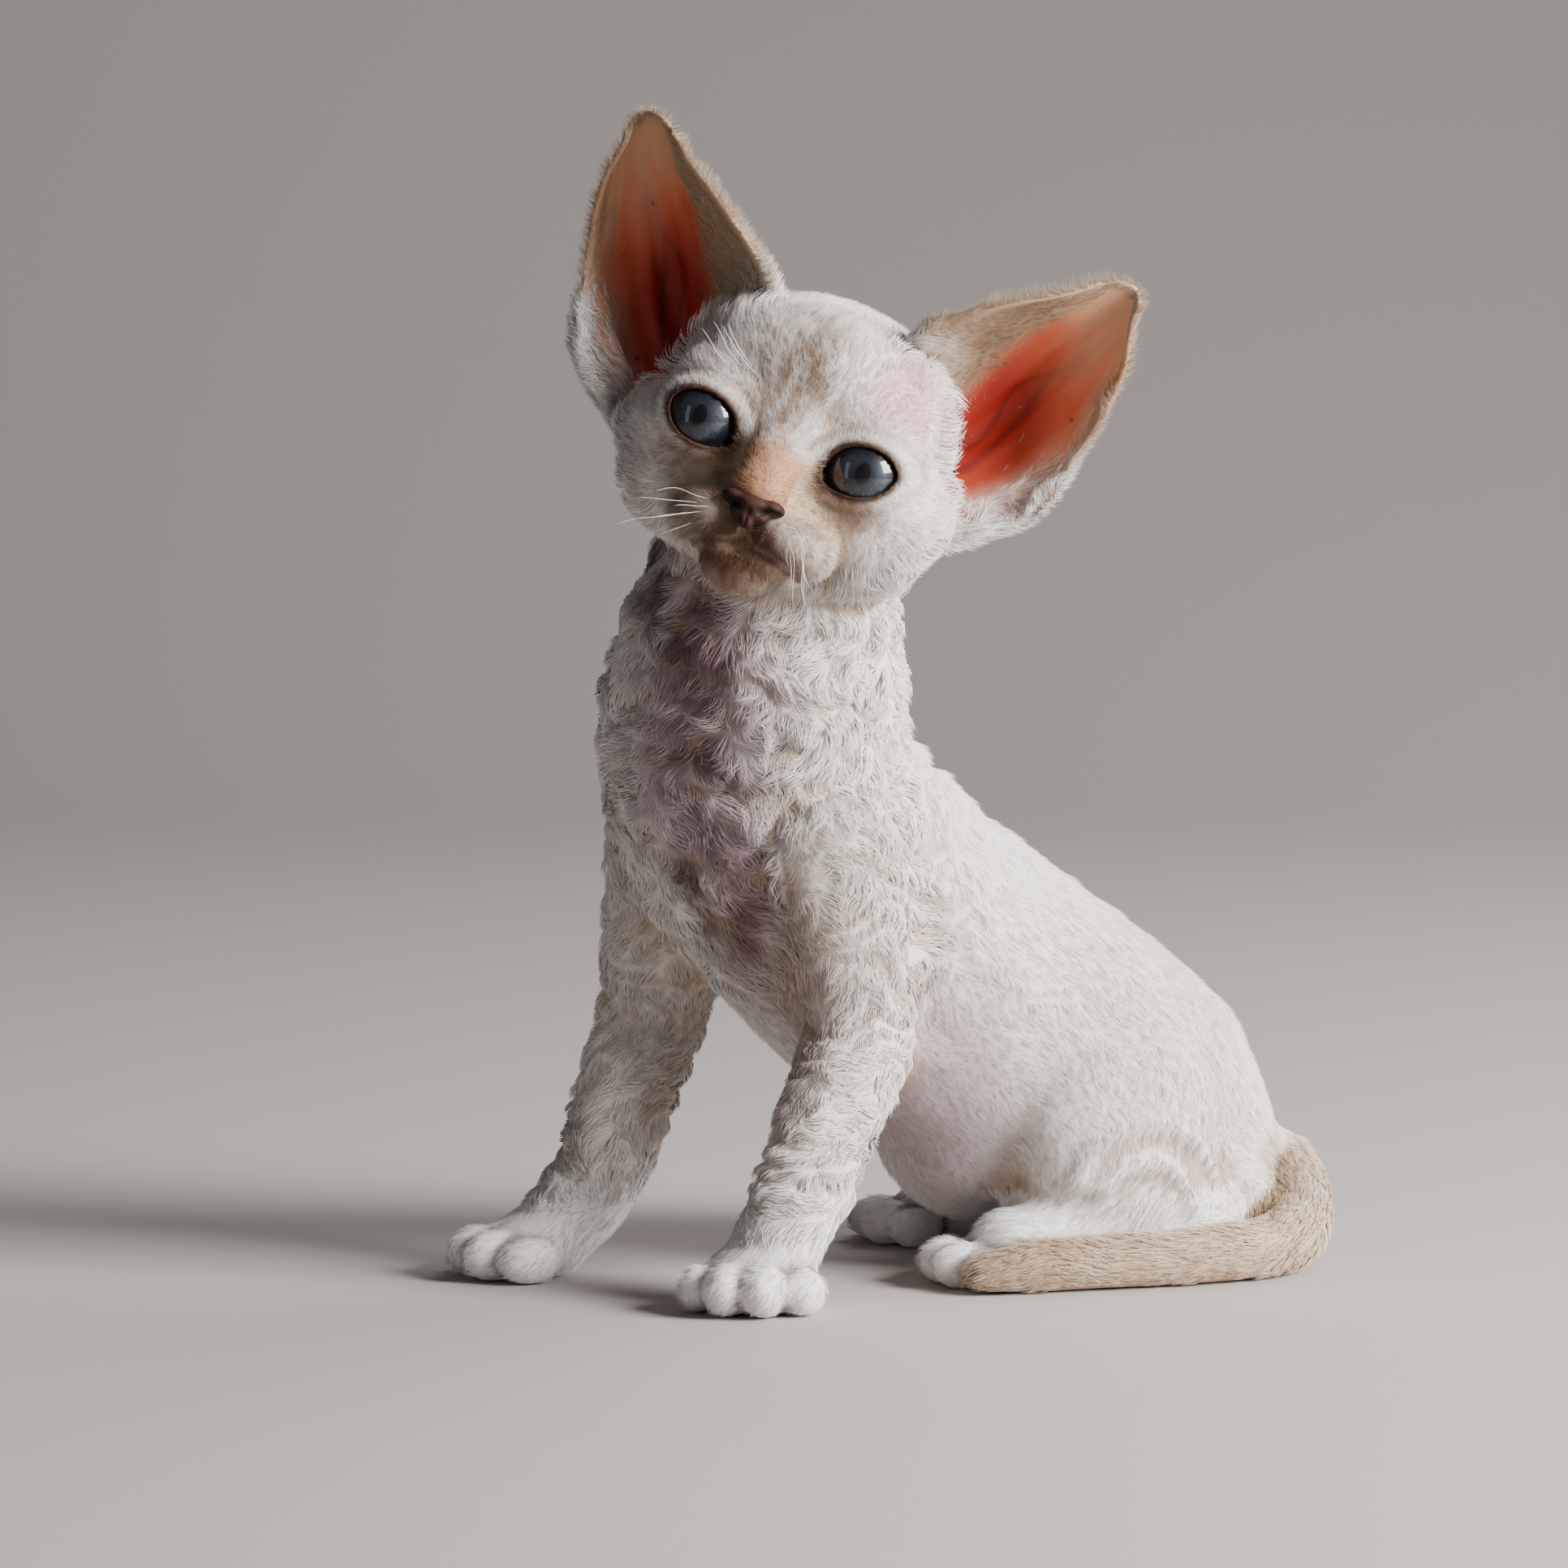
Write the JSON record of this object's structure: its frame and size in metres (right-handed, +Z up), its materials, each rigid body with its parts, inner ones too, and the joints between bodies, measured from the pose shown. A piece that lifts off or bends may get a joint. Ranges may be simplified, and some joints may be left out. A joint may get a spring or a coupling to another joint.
{
  "type": "devon rex cat",
  "caption": "Still life-size devon rex kitten sitting upright, head tilted, large cupped ears, curly cream coat, tail laid round the hind foot.",
  "frame": {"origin": "middle of the base of the whole animal's box, at floor level", "axes": "+Z up; the face looks along -Y, tilted, and the body is turned so that the hindquarters lie towards +X and +Y; the kitten's left is towards +X"},
  "size_m": [0.1646, 0.1208, 0.2125],
  "materials": {
    "coat": "soft short curled fur, cream white",
    "points": "soft short fur, beige tan",
    "eye": "wet clear surface over a slate blue iris",
    "nose_leather": "bare fine-grained skin, slightly damp"
  },
  "bodies": {
    "root": {"head": "coat", "neck": "coat", "torso": "coat", "foreleg_left": "coat", "foreleg_right": "coat", "hindleg_left": "coat", "hindleg_right": "coat", "tail": "points", "ear_left": "points", "ear_right": "points", "eye_left": "eye", "eye_right": "eye", "nose": "nose_leather"}
  },
  "joints": []
}
